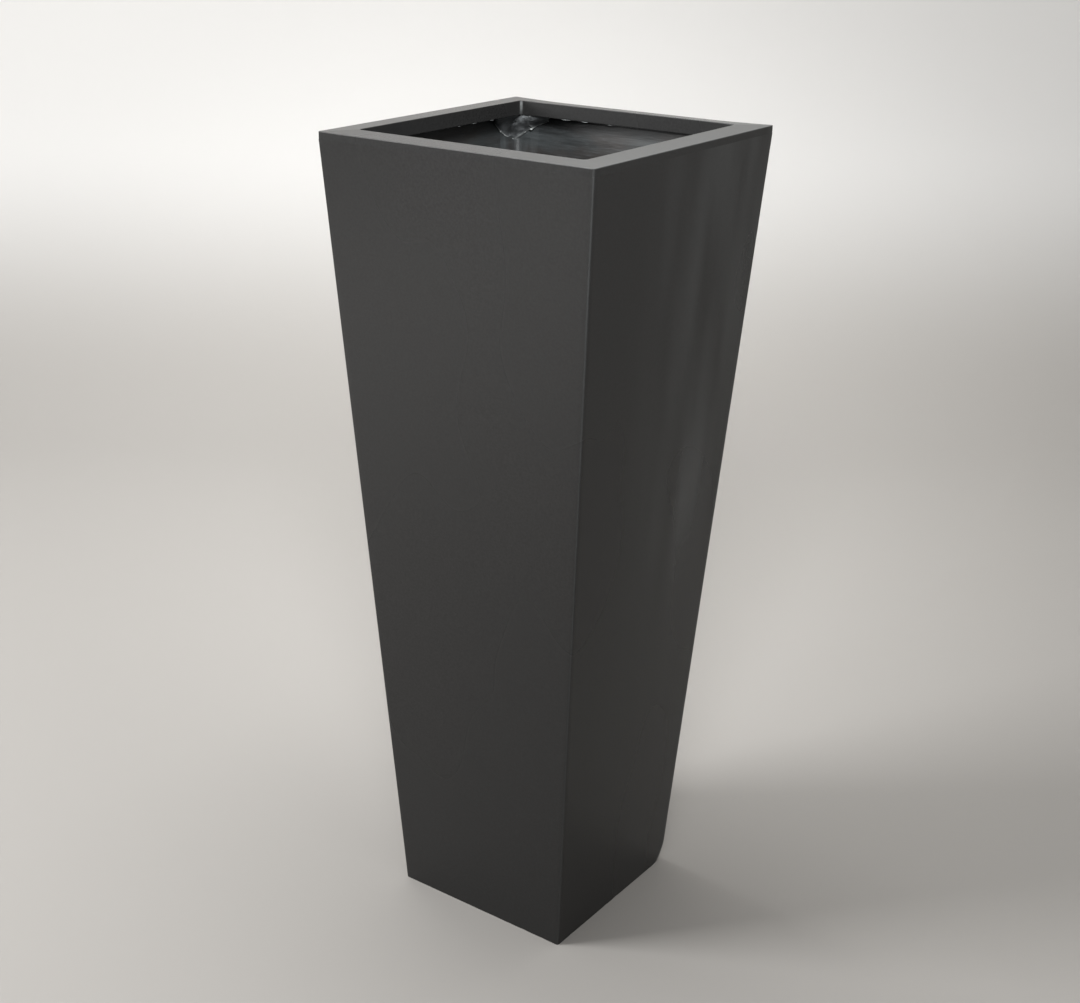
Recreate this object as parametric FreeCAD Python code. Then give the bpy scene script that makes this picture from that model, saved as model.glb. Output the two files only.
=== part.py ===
"""Tall tapered fibreglass planter: a hand laid-up square shell, wide at the mouth and narrow at the foot.

Frame: millimetres, +Z up, origin on the floor under the middle of the foot. The front face looks along -Y and
the right face along +X. The walls, the rim, the corner webs, the glass tapes, the base and its drain plug are
separate pieces, as they are before they are bonded together.
"""
import FreeCAD, Part
import math
import os

# ---------------------------------------------------------------- driving dimensions
planter_height = 1000.0
rim_width = 376.0             # across the rim's outside faces
foot_width = 250.0
laminate = 4.0                # wall thickness, measured level

edge_radius = 5.0             # outside upright edges
inside_corner_radius = 9.0    # wet laminate rounds off the inside of each corner

rim_face = 31.5               # width of the flat rim seen from above
rim_band = 10.0               # upright outside band of the rim
rim_thickness = 4.0
rim_edge_radius = 1.5         # eased edges of the rim
mouth_corner_radius = 5.0
lip_depth = 18.0              # return lip, measured down from the rim's top
lip_thickness = 3.5
lip_edge_bevel = 1.0
tongue_depth = 14.0           # the rim's inner leg, bonded inside the wall
tongue_thickness = 3.5

web_on_lip = 45.0             # how far each web runs along the lip from the lip's corner
web_on_wall = 44.0            # and along the wall from the wall's corner
web_edge_drop = 31.0          # the web's ends on the walls, below the rim's top
web_apex_drop = 54.0          # its lowest point, in the corner
web_start = 0.5               # it starts under the lip, this far behind the lip's face
web_spread = 1.0              # it is laid this far past the walls' inner faces, then cut to them

tape_leg = 38.0
tape_thickness = 1.2

base_recess = 10.0            # underside of the base above the floor
base_thickness = 6.0
bond_width = 12.0             # bonding paste struck off at a slant round the base

drain_radius = 10.0
plug_clearance = 0.08
plug_shank_end = 5.0          # height of the shank's tip above the floor
plug_head_radius = 15.0
plug_head_thickness = 3.0
grip_width = 15.0             # finger grip on the plug's head
grip_height = 9.0
grip_thickness = 3.0
grip_corner_radius = 4.5

# ---------------------------------------------------------------- values that follow
up = FreeCAD.Vector(0, 0, 1)
centre = FreeCAD.Vector(0, 0, 0)
rim_half = rim_width / 2
foot_half = foot_width / 2
mouth_half = rim_half - rim_face
wall_top = planter_height - rim_band
rim_underside = planter_height - rim_thickness
lip_bottom = planter_height - lip_depth
lip_back = mouth_half + lip_thickness
tongue_bottom = wall_top - tongue_depth
base_top = base_recess + base_thickness
lean = (rim_half - foot_half) / wall_top
corner_turns = {"back_right": 0, "back_left": 90, "front_left": 180, "front_right": 270}
margin = 5.0                  # how far a cutting shape runs past what it cuts


def inner_half(z):
    """Half the inside width of the walls at a height."""
    return foot_half + lean * z - laminate


def rising_edges(shape):
    """The edges that run up a shape's corners."""
    return [edge for edge in shape.Edges if edge.BoundBox.ZLength > 1.0]


def leaning_block(near_low, far_low, z_low, near_high, far_high, z_high):
    """A solid with flat leaning sides: square at both ends, from near to far along X and along Y."""
    block = Part.makeWedge(
        near_low, z_low, -far_low, -far_high, near_high,
        far_low, z_high, -near_low, -near_high, far_high,
    )
    block.rotate(centre, FreeCAD.Vector(1, 0, 0), 90)
    return block


def rounded_block(half_low, z_low, half_high, z_high, radius):
    """A block round the middle axis with leaning sides and rounded rising edges."""
    block = leaning_block(-half_low, half_low, z_low, -half_high, half_high, z_high)
    return block.makeFillet(radius, rising_edges(block))


def inside_of_wall(z_low, z_high, inset=0.0):
    """The space inside the walls between two heights, taken in by an inset."""
    radius = inside_corner_radius - inset
    return rounded_block(inner_half(z_low) - inset, z_low, inner_half(z_high) - inset, z_high, radius)


def level_edges(shape, z, nearer, further):
    """The level edges at a height that lie between two distances from the middle planes."""
    found = []
    for edge in shape.Edges:
        box = edge.BoundBox
        level = abs(box.ZMin - z) < 0.01 and abs(box.ZMax - z) < 0.01
        middle = edge.valueAt((edge.FirstParameter + edge.LastParameter) / 2)
        reach = max(abs(middle.x), abs(middle.y))
        if level and nearer < reach < further:
            found.append(edge)
    return found


# ---------------------------------------------------------------- the pieces
def wall_shell():
    """Four leaning walls in one laminate, open at both ends."""
    outside = rounded_block(foot_half, 0, rim_half, wall_top, edge_radius)
    return outside.cut(inside_of_wall(-margin, wall_top + margin))


def rim_frame():
    """The flat rim: an upright band outside, a return lip inside and a tongue bonded inside the walls."""
    crown = rounded_block(rim_half, wall_top, rim_half, planter_height, edge_radius)
    tongue = inside_of_wall(tongue_bottom, wall_top)
    bottom = tongue_bottom - margin
    mouth = rounded_block(mouth_half, bottom, mouth_half, planter_height + margin, mouth_corner_radius)
    channel = inside_of_wall(bottom, rim_underside, tongue_thickness)
    lip_radius = mouth_corner_radius + lip_thickness
    behind_lip = rounded_block(lip_back, lip_bottom, lip_back, planter_height, lip_radius)
    body = crown.fuse(tongue).cut(channel.cut(behind_lip)).cut(mouth).removeSplitter()
    body = body.makeFillet(rim_edge_radius, level_edges(body, planter_height, 0, rim_width))
    lip_edges = level_edges(body, lip_bottom, mouth_half - lip_thickness, lip_back + lip_thickness)
    return body.makeChamfer(lip_edge_bevel, lip_edges)


def web_arm():
    """Half of a corner web: a body with twisted faces from the mitre in the corner to the arm's end."""
    start = mouth_half + web_start
    corner_loss = inside_corner_radius * (1 - math.sqrt(0.5))
    apex_run = inner_half(planter_height - web_apex_drop) - corner_loss - start
    apex_slope = (web_apex_drop - lip_depth) / apex_run
    outside = inner_half(rim_underside) + web_spread
    mitre_foot = lip_bottom - apex_slope * (outside - start)
    end_on_lip = mouth_half - web_on_lip
    end_on_wall = inner_half(planter_height - web_edge_drop) - web_on_wall
    web_roof = rim_underside + web_spread

    def section(inner_x, inner_y, inner_foot, outer_x, outer_y, outer_foot):
        corners = [
            FreeCAD.Vector(inner_x, inner_y, inner_foot),
            FreeCAD.Vector(inner_x, inner_y, web_roof),
            FreeCAD.Vector(outer_x, outer_y, web_roof),
            FreeCAD.Vector(outer_x, outer_y, outer_foot),
        ]
        return Part.makePolygon(corners + corners[:1])

    mitre = section(start, start, lip_bottom, outside, outside, mitre_foot)
    end = section(start, end_on_lip, lip_bottom, outside, end_on_wall, planter_height - web_edge_drop)
    return Part.makeLoft([mitre, end], True, True)


def corner_web(rim):
    """The triangular web that closes the channel behind the lip at a corner, cut to what it is bonded to."""
    arm = web_arm()
    mirrored = arm.mirror(centre, FreeCAD.Vector(1, -1, 0))
    space = inside_of_wall(planter_height - 2 * web_apex_drop, planter_height)
    return arm.fuse(mirrored).removeSplitter().common(space).cut(rim)


def corner_tape(rim, web, bond):
    """A strip of glass tape down the inside of a corner, from the web to the bonding paste."""
    lining = inside_of_wall(base_top, wall_top)
    lining = lining.cut(inside_of_wall(base_top - margin, wall_top + margin, tape_thickness))
    low = inner_half(base_top)
    high = inner_half(wall_top)
    corner = leaning_block(low - tape_leg, low + margin, base_top, high - tape_leg, high + margin, wall_top)
    return lining.common(corner).cut(rim).cut(web).cut(bond)


def base_panel():
    """The flat base let in above the walls' lower edge, with a drain hole."""
    drain_foot = FreeCAD.Vector(0, 0, base_recess - margin)
    drain = Part.makeCylinder(drain_radius, base_thickness + 2 * margin, drain_foot, up)
    return inside_of_wall(base_recess, base_top).cut(drain)


def base_bond():
    """Bonding paste run round the base and struck off at a slant."""
    bond_top = base_top + bond_width
    foot = inner_half(base_top) - bond_width
    hollow = rounded_block(foot, base_top, inner_half(bond_top), bond_top, inside_corner_radius)
    return inside_of_wall(base_top, bond_top).cut(hollow)


def drain_plug():
    """A rubber plug: a shank in the drain hole, a head on the base and a grip to lift it by."""
    shank = drain_radius - plug_clearance
    head_top = base_top + plug_head_thickness
    outline = [
        (0, plug_shank_end),
        (shank, plug_shank_end),
        (shank, base_top),
        (plug_head_radius, base_top),
        (plug_head_radius, head_top),
        (0, head_top),
        (0, plug_shank_end),
    ]
    profile = Part.Face(Part.makePolygon([FreeCAD.Vector(r, 0, z) for r, z in outline]))
    body = profile.revolve(centre, up, 360)
    grip_foot = FreeCAD.Vector(-grip_width / 2, -grip_thickness / 2, base_top)
    grip = Part.makeBox(grip_width, grip_thickness, plug_head_thickness + grip_height, grip_foot)
    tops = level_edges(grip, head_top + grip_height, grip_thickness, grip_width)
    grip = grip.makeFillet(grip_corner_radius, tops)
    return body.fuse(grip).removeSplitter()


def save(name, shape):
    """Write one piece and say how it came out."""
    solids = len(shape.Solids)
    print(name, "valid", shape.isValid(), "solids", solids, "litres", round(shape.Volume / 1e6, 4))
    shape.exportStep("parts/" + name + ".step")


def main():
    os.makedirs("parts", exist_ok=True)
    rim = rim_frame()
    web = corner_web(rim)
    bond = base_bond()
    tape = corner_tape(rim, web, bond)
    save("wall_shell", wall_shell())
    save("rim_frame", rim)
    save("base_panel", base_panel())
    save("base_bond", bond)
    save("drain_plug", drain_plug())
    for corner, turn in corner_turns.items():
        for kind, piece in (("corner_web_", web), ("corner_tape_", tape)):
            turned = piece.copy()
            turned.rotate(centre, up, turn)
            save(kind + corner, turned)


main()
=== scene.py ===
"""A tall tapered fibreglass planter in satin dark grey paint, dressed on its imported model.

Metres, +Z up, the origin on the floor under the middle of the foot. The front face looks along -Y and the
right face along +X. Each operator makes one piece or one group of like pieces; main() calls them in order.
"""
import math

import bmesh
import bpy
from mathutils import Matrix, Vector, geometry, noise


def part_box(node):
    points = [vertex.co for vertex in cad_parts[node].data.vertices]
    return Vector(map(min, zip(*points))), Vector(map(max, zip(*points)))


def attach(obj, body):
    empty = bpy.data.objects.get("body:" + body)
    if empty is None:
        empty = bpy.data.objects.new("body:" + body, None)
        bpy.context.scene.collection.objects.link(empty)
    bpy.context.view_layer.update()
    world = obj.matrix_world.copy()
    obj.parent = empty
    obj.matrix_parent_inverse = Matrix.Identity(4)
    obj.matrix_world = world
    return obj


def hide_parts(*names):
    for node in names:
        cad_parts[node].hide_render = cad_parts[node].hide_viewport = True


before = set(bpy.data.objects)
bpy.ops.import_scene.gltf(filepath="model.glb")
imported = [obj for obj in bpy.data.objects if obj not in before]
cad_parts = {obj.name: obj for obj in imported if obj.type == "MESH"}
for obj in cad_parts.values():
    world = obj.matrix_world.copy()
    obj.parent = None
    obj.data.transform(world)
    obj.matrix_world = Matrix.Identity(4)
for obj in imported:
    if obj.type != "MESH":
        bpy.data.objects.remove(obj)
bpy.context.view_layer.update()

bl_info = {
    "name": "Tall Fibreglass Planter",
    "version": (1, 0, 0),
    "blender": (4, 5, 0),
    "location": "View3D > Sidebar > Planter",
    "description": "Builds the painted shell, the rim, the raw laminate inside and the stage",
    "category": "Object",
}

MM = 0.001
SAME = 0.01 * MM              # heights and reaches closer than this are taken as equal


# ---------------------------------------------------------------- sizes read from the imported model
def reach_at(node, z_low, z_high):
    """How far a node's points lie from the middle planes between two heights: least and most."""
    points = [v.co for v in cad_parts[node].data.vertices]
    reaches = [max(abs(p.x), abs(p.y)) for p in points if z_low <= p.z <= z_high]
    return min(reaches), max(reaches)


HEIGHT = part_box("rim_frame")[1].z
RIM_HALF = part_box("rim_frame")[1].x
WALL_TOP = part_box("wall_shell")[1].z
FOOT_HALF = reach_at("wall_shell", 0, MM)[1]
LEAN = (RIM_HALF - FOOT_HALF) / WALL_TOP
BASE_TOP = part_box("base_panel")[1].z
LAMINATE = FOOT_HALF + LEAN * BASE_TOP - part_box("base_panel")[1].x
MOUTH_HALF = reach_at("rim_frame", WALL_TOP, HEIGHT)[0]
TONGUE_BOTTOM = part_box("rim_frame")[0].z
BOND_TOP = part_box("base_bond")[1].z
WEB_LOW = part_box("corner_web_back_left")[0].z
PLUG_LOW, PLUG_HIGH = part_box("drain_plug")

CORNERS = {"back_right": 0, "back_left": 90, "front_left": 180, "front_right": 270}


def outer_half(z):
    """Half the outside width of the walls at a height."""
    return FOOT_HALF + LEAN * z


def inner_half(z):
    """Half the inside width of the walls at a height."""
    return outer_half(z) - LAMINATE


def linear(code):
    """An sRGB hex colour as linear red, green, blue and alpha."""
    parts = [int(code[i:i + 2], 16) / 255 for i in (1, 3, 5)]
    return tuple(c / 12.92 if c <= 0.04045 else ((c + 0.055) / 1.055) ** 2.4 for c in parts) + (1.0,)


# ---------------------------------------------------------------- what a user would change
def length(name, description, default):
    """A size in metres that shows in the panel."""
    return bpy.props.FloatProperty(
        name=name, description=description, default=default, unit="LENGTH", precision=4)


def colour(name, description, code):
    """A colour that shows in the panel."""
    return bpy.props.FloatVectorProperty(
        name=name, description=description, default=linear(code), size=4, subtype="COLOR", min=0, max=1)


class PlanterSizes(bpy.types.PropertyGroup):
    edge_radius_top: length("Edge radius, top", "Rounding of the outer upright edges under the rim", 2.5 * MM)
    edge_radius_foot: length("Edge radius, foot", "Rounding of the outer upright edges at the foot", 2.5 * MM)
    worn_corner_radius: length("Worn corner", "Rounding of the back right corner at the floor", 19 * MM)
    worn_corner_height: length("Worn corner height", "How far up the worn corner reaches", 32 * MM)
    inner_radius: length("Inside corner", "Rounding of the inside corners", 9 * MM)
    sanding_wave: length("Sanding waves", "Depth of the slow waves left in the outside by sanding", 0.25 * MM)
    foot_chips: length("Foot chips", "Deepest nick in the trimmed foot edge", 1.5 * MM)
    laminate_relief: length("Laminate relief", "Height of the roller marks on the raw inside", 0.9 * MM)
    rim_edge_radius: length("Rim edge", "Eased edges of the rim", 0.6 * MM)
    rim_thickness: length("Rim thickness", "Thickness of the rim's flange", 4 * MM)
    mouth_corner_radius: length("Mouth corner", "Rounding of the mouth's corners", 5 * MM)
    lip_thickness: length("Lip thickness", "Thickness of the return lip", 3.5 * MM)
    lip_depth: length("Lip depth", "Depth of the return lip below the rim's top", 18 * MM)
    rim_fall: length("Rim fall", "How much lower the flange's outer edge is than its mouth edge", 1.4 * MM)
    rim_fall_back: length("Rim fall, back", "The same on the back side, where the flange is warped", 3.0 * MM)
    web_on_lip: length("Web on lip", "Length of each corner web along the lip", 45 * MM)
    web_on_wall: length("Web on wall", "Length of each corner web along the wall", 48 * MM)
    web_edge_drop: length("Web edge", "How far below the rim's top the web's ends meet the walls", 29 * MM)
    tape_leg: length("Tape leg", "Width of the glass tape on each side of the corner", 38 * MM)
    tape_thickness: length("Tape thickness", "Thickness of the glass tape", 1.2 * MM)


class PlanterColours(bpy.types.PropertyGroup):
    paint: colour("Paint", "Satin dark grey paint on the shell and the rim", "#242424")
    # this paler paint also stands in for painted highlights along edges and painted reflections on the right
    # face and the rim's top
    painted_light_and_scuffed_paint: colour("Scuffed paint", "Paint that is thin or rubbed at an edge", "#a3a7a8")
    raw_laminate: colour("Raw laminate", "Pigmented laminate inside the planter", "#2c2f30")
    laminate_fibre: colour("Laminate fibre", "Glass fibre that shows through the resin", "#575b5d")
    stain: colour("Stain", "Brownish drift deep in the raw laminate", "#302c2a")
    web_resin: colour("Web resin", "Resin of the corner webs", "#606365")
    # these pale build-ups also stand in for painted highlights on the webs' beads and lower edge
    bare_resin_and_highlight: colour("Bare resin", "Build-ups of resin that stay pale", "#b9bebd")
    tape: colour("Glass tape", "Resin-wetted tape in the corners", "#4b5052")
    paste: colour("Bonding paste", "Paste round the base", "#5b5a57")
    rubber: colour("Rubber", "Drain plug", "#1b1b1c")
    floor: colour("Floor", "Studio floor", "#b9b6b2")
    backdrop: colour("Backdrop", "Studio backdrop behind the planter", "#edecea")


def sizes():
    """The sizes in the panel."""
    return bpy.context.scene.planter_sizes


def colours():
    """The colours in the panel."""
    return bpy.context.scene.planter_colours


# ---------------------------------------------------------------- materials
RESIN_IOR = 1.55


def add(tree, kind, settings=None, **links):
    """Add a node, set its sockets and properties, and link the named inputs to other nodes' outputs."""
    node = tree.nodes.new(kind)
    for key, value in (settings or {}).items():
        if key in node.inputs:
            node.inputs[key].default_value = value
        else:
            setattr(node, key, value)
    for name, source in links.items():
        tree.links.new(source, node.inputs[name.replace("_", " ")])
    return node


def new_material(name):
    """An empty node material and its shader."""
    made = bpy.data.materials.new(name)
    made.use_nodes = True
    tree = made.node_tree
    return made, tree, tree.nodes["Principled BSDF"]


def pattern(tree, period, stretch=(1, 1, 1), kind="Noise", output="Fac", **settings):
    """A procedural texture on Object coordinates: its period in metres along the unstretched axes."""
    place = add(tree, "ShaderNodeTexCoord").outputs["Object"]
    mapping = add(tree, "ShaderNodeMapping", {"Scale": tuple(s / period for s in stretch)}, Vector=place)
    texture = add(tree, "ShaderNodeTex" + kind, {"Scale": 1.0, **settings}, Vector=mapping.outputs["Vector"])
    return texture.outputs[output]


def ramp(tree, source, low, high, first, second):
    """A ramp between two colours, or numbers for greys; it eases in and out, so that no contour shows."""
    node = add(tree, "ShaderNodeValToRGB", None, Fac=source)
    node.color_ramp.interpolation = "EASE"
    for element, position, tone in zip(node.color_ramp.elements, (low, high), (first, second)):
        element.position = position
        element.color = tone if isinstance(tone, tuple) else (tone, tone, tone, 1.0)
    return node.outputs["Color"]


def shade(tone, factor):
    """A colour made lighter or darker."""
    return tuple(min(1.0, c * factor) for c in tone[:3]) + (1.0,)


def mix_tones(tree, first, second, share, blend="MIX"):
    """Two colours, each a socket or a constant, mixed by a share that is a socket or a number."""
    node = add(tree, "ShaderNodeMix", {"data_type": "RGBA", "blend_type": blend})
    for number, value in ((0, share), (6, first), (7, second)):
        if isinstance(value, bpy.types.NodeSocket):
            tree.links.new(value, node.inputs[number])
        else:
            node.inputs[number].default_value = value
    return node.outputs[2]


def raised(tree, height, strength, distance, under=None):
    """The normal of a relief, laid over another relief's normal if there is one."""
    node = add(tree, "ShaderNodeBump", {"Strength": strength, "Distance": distance}, Height=height)
    if under is not None:
        tree.links.new(under, node.inputs["Normal"])
    return node.outputs["Normal"]


def wire(tree, shader, base, gloss, normal, ior=1.5):
    """Link a finish's colour, roughness and normal to its shader, and set how strongly it reflects."""
    for name, source in (("Base Color", base), ("Roughness", gloss), ("Normal", normal)):
        tree.links.new(source, shader.inputs[name])
    shader.inputs["IOR"].default_value = ior


def satin_paint():
    """Two-pack polyurethane, sprayed and rubbed down: dark and soft-edged, with a fine mottle and a faint
    orange peel, and broad patches that were rubbed more or less.
    Where an attribute asks, it is mixed towards a paler paint: painted highlights along the outer upright
    edges, painted reflection streaks on the right face, a painted reflection on the rim's top, and worn paint
    at the lip's inside corners that also stands for a painted highlight."""
    made, tree, shader = new_material("satin_polyurethane_paint")
    tone = tuple(colours().paint)
    mottle = pattern(tree, 3 * MM, Detail=3.0, Roughness=0.7)
    rubbed_gloss_and_painted_streaks = pattern(tree, 220 * MM, (1, 1, 0.6), Detail=1.0)
    peel = pattern(tree, 2.5 * MM, Detail=1.0)
    painted_light_and_scuff = add(tree, "ShaderNodeAttribute", {"attribute_name": "painted_light_and_scuff"}).outputs["Fac"]
    base = ramp(tree, mottle, 0.25, 0.75, shade(tone, 0.84), shade(tone, 1.16))
    # mixed in where the attribute asks: painted highlights, painted reflection streaks and worn paint
    base = mix_tones(tree, base, tuple(colours().painted_light_and_scuffed_paint), painted_light_and_scuff)
    gloss = ramp(tree, rubbed_gloss_and_painted_streaks, 0.2, 0.8, 0.26, 0.3)
    wire(tree, shader, base, gloss, raised(tree, peel, 0.3, 0.005 * MM), ior=1.38)
    return made


def rolled_resin(tree):
    """The colour, the gloss and the normal of hand rolled resin: level bands, stains and strands of fibre."""
    tone = tuple(colours().raw_laminate)
    bands = pattern(tree, 120 * MM, (1, 1, 14), Detail=5.0, Roughness=0.65)
    strands = pattern(tree, 26 * MM, (1, 1, 12), Detail=6.0, Roughness=0.7)
    clouds = pattern(tree, 90 * MM, (1, 1, 2), Detail=3.0)
    pits = pattern(tree, 9 * MM, kind="Voronoi", output="Distance")
    base = ramp(tree, bands, 0.34, 0.68, shade(tone, 0.55), shade(tone, 1.5))
    base = mix_tones(tree, base, tuple(colours().stain), ramp(tree, clouds, 0.42, 0.65, 0.0, 0.7))
    base = mix_tones(tree, base, tuple(colours().laminate_fibre), ramp(tree, strands, 0.48, 0.8, 0.0, 0.5))
    gloss = ramp(tree, strands, 0.3, 0.8, 0.38, 0.6)
    rolled = raised(tree, strands, 0.45, 0.6 * MM)
    holes = ramp(tree, pits, 0.05, 0.2, 0.0, 1.0)
    return base, gloss, raised(tree, holes, 0.25, 0.3 * MM, rolled)


def raw_laminate():
    """Hand rolled polyester laminate with dark pigment: glossy resin in bands, with chopped fibre showing."""
    made, tree, shader = new_material("raw_polyester_laminate")
    wire(tree, shader, *rolled_resin(tree), RESIN_IOR)
    return made


def web_resin():
    """Chopped glass and thickened resin pushed into the corner by hand, with glass strands pressed into it.
    It is paler where the resin stands up in beads, partly pale resin and partly a painted highlight, and
    darkened in the hollows as painted shade."""
    made, tree, shader = new_material("resin_and_chopped_glass")
    tone = tuple(colours().web_resin)
    clouds = pattern(tree, 12 * MM, Detail=5.0, Roughness=0.65)
    strands = pattern(tree, 4 * MM, (1, 1, 3), Detail=4.0, Distortion=1.2)
    height = add(tree, "ShaderNodeAttribute", {"attribute_name": "build_up_and_painted_light"}).outputs["Fac"]
    # paler where the web stands up: pale resin and a painted highlight
    proud_pale_and_highlight = ramp(tree, height, 0.5, 0.95, 0.0, 0.85)
    # darker where the web is sunk: painted shade in the hollows
    painted_hollow_shade = ramp(tree, height, 0.1, 0.5, 0.14, 1.0)
    base = ramp(tree, clouds, 0.35, 0.65, shade(tone, 0.45), shade(tone, 1.3))
    base = mix_tones(tree, base, tuple(colours().bare_resin_and_highlight), proud_pale_and_highlight)
    base = mix_tones(tree, base, painted_hollow_shade, 1.0, "MULTIPLY")
    gloss = ramp(tree, clouds, 0.3, 0.7, 0.42, 0.68)
    wire(tree, shader, base, gloss, raised(tree, strands, 0.7, 0.5 * MM), RESIN_IOR)
    return made


def glass_tape():
    """Glass tape wetted out with the same dark resin as the walls: its long threads show here and there."""
    made, tree, shader = new_material("woven_glass_tape")
    tone = tuple(colours().tape)
    threads = pattern(tree, 5 * MM, (1, 1, 0.12), Detail=5.0, Roughness=0.6)
    dry = pattern(tree, 24 * MM, (1, 1, 0.7), Detail=4.0)
    base, gloss, rolled = rolled_resin(tree)
    woven = ramp(tree, threads, 0.35, 0.7, shade(tone, 0.5), shade(tone, 1.3))
    base = mix_tones(tree, base, woven, ramp(tree, dry, 0.4, 0.7, 0.1, 0.6))
    wire(tree, shader, base, gloss, raised(tree, threads, 0.3, 0.3 * MM, rolled), RESIN_IOR)
    return made


def bonding_paste():
    """Filled polyester paste, mixed and struck off by hand: matt, cloudy grey with a fine grit."""
    made, tree, shader = new_material("polyester_bonding_paste")
    tone = tuple(colours().paste)
    clouds = pattern(tree, 25 * MM, Detail=5.0)
    grit = pattern(tree, 1.5 * MM, Detail=3.0)
    base = ramp(tree, clouds, 0.3, 0.7, shade(tone, 0.8), shade(tone, 1.2))
    gloss = ramp(tree, clouds, 0.3, 0.7, 0.6, 0.8)
    wire(tree, shader, base, gloss, raised(tree, grit, 0.5, 0.2 * MM))
    return made


def moulded_rubber():
    """Moulded natural rubber: near black, matt, with a bloom of dust and a fine grain."""
    made, tree, shader = new_material("moulded_black_rubber")
    tone = tuple(colours().rubber)
    bloom = pattern(tree, 7 * MM, Detail=4.0)
    grain = pattern(tree, 0.6 * MM, Detail=2.0)
    base = ramp(tree, bloom, 0.4, 0.75, tone, shade(tone, 2.4))
    gloss = ramp(tree, bloom, 0.4, 0.7, 0.55, 0.75)
    wire(tree, shader, base, gloss, raised(tree, grain, 0.4, 0.05 * MM))
    return made


def studio_paper():
    """Matt background paper, slightly warm: a pale floor that runs up into a lighter backdrop."""
    made, tree, shader = new_material("background_paper")
    place = add(tree, "ShaderNodeTexCoord")
    height = add(tree, "ShaderNodeSeparateXYZ", None, Vector=place.outputs["Object"])
    base = ramp(tree, height.outputs["Z"], 0.02, 0.55, tuple(colours().floor), tuple(colours().backdrop))
    tree.links.new(base, shader.inputs["Base Color"])
    shader.inputs["Roughness"].default_value = 0.9
    shader.inputs["Specular IOR Level"].default_value = 0.1
    return made


# ---------------------------------------------------------------- modelling helpers
def four(radii):
    """One corner radius for all four corners, or the four as given in the order of CORNERS."""
    return tuple(radii) if isinstance(radii, (tuple, list)) else (radii,) * 4


def corner_number(point):
    """Which corner of the planter a point is nearest to, in the order of CORNERS."""
    if point.y >= 0:
        return 0 if point.x >= 0 else 1
    return 2 if point.x < 0 else 3


def rounded(bm, geom, radius, steps, affect="VERTICES"):
    """Round the corners of an outline, or the edges of a solid, to arcs."""
    return bmesh.ops.bevel(bm, geom=geom, offset=radius, offset_type="OFFSET", affect=affect, segments=steps,
                           profile=0.5, material=-1)


def spin_of(turn):
    """The rotation about the planter's middle by an angle in degrees."""
    return Matrix.Rotation(math.radians(turn), 3, "Z")


def square_loop(bm, half, z, radii, steps, cuts):
    """A level loop of edges: a square with rounded corners, each long side divided evenly."""
    turn = Matrix.Translation((0, 0, z)) @ Matrix.Rotation(math.pi / 4, 4, "Z")
    made = bmesh.ops.create_circle(bm, segments=4, radius=half * math.sqrt(2), matrix=turn)
    corners = {corner_number(v.co): v for v in made["verts"]}
    verts = set()
    for number, radius in enumerate(four(radii)):
        verts.update(rounded(bm, [corners[number]], radius, steps)["verts"])
    edges = {e for v in verts for e in v.link_edges}
    sides = [e for e in edges if e.calc_length() > half]
    split = bmesh.ops.subdivide_edges(bm, edges=sides, cuts=cuts)
    edges.update(e for e in split["geom_split"] if isinstance(e, bmesh.types.BMEdge))
    return [e for e in edges if e.is_valid]


def refit(value, core, radius, new_core, new_radius):
    """One coordinate of a rounded square's point, carried to a rounded square of another size."""
    straight = min(abs(value), core) * new_core / core
    return math.copysign(straight + max(0.0, abs(value) - core) * new_radius / radius, value)


def next_loop(bm, edges, before, after, slot):
    """Extrude a loop of edges from one rounded square to the next. Returns the new loop's edges."""
    made = bmesh.ops.extrude_edge_only(bm, edges=edges)["geom"]
    fresh = {g for g in made if isinstance(g, bmesh.types.BMVert)}
    half, z, radii = before
    new_half, new_z, new_radii = after
    for vert in fresh:
        number = corner_number(vert.co)
        radius, new_radius = four(radii)[number], four(new_radii)[number]
        sizes_now = (half - radius, radius, new_half - new_radius, new_radius)
        vert.co = (refit(vert.co.x, *sizes_now), refit(vert.co.y, *sizes_now), new_z)
    for face in made:
        if isinstance(face, bmesh.types.BMFace):
            face.material_index = slot
    return [g for g in made if isinstance(g, bmesh.types.BMEdge) and set(g.verts) <= fresh]


def closed_ring(bm, sections, steps=5, cuts=24):
    """A closed ring through level rounded squares.

    Each section is (half width, height, corner radii, rows to the next section, material slot of those rows).
    """
    shapes, slots = [], []
    for now, then in zip(sections, sections[1:] + sections[:1]):
        for row in range(now[3]):
            share = row / now[3]
            radii = [a + (b - a) * share for a, b in zip(four(now[2]), four(then[2]))]
            shapes.append((now[0] + (then[0] - now[0]) * share, now[1] + (then[1] - now[1]) * share, radii))
            slots.append(now[4])
    edges = square_loop(bm, *shapes[0], steps, cuts)
    for before, after, slot in zip(shapes, shapes[1:] + shapes[:1], slots):
        edges = next_loop(bm, edges, before, after, slot)
    bmesh.ops.remove_doubles(bm, verts=bm.verts, dist=0.05 * MM)


def finish_piece(bm, name, materials, body="planter", nodes=(), sharp=40):
    """Turn a bmesh into a piece that rides on its body, has a slot and stands for its nodes."""
    bmesh.ops.recalc_face_normals(bm, faces=bm.faces)
    if bm.calc_volume(signed=True) < 0:
        bmesh.ops.reverse_faces(bm, faces=bm.faces)
    for face in bm.faces:
        face.smooth = True
    mesh = bpy.data.meshes.new(name)
    bm.to_mesh(mesh)
    bm.free()
    mesh.set_sharp_from_angle(angle=math.radians(sharp))
    piece = bpy.data.objects.new(name, mesh)
    bpy.context.scene.collection.objects.link(piece)
    for material in materials:
        mesh.materials.append(material)
    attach(piece, body)
    if nodes:
        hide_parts(*nodes)


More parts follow.
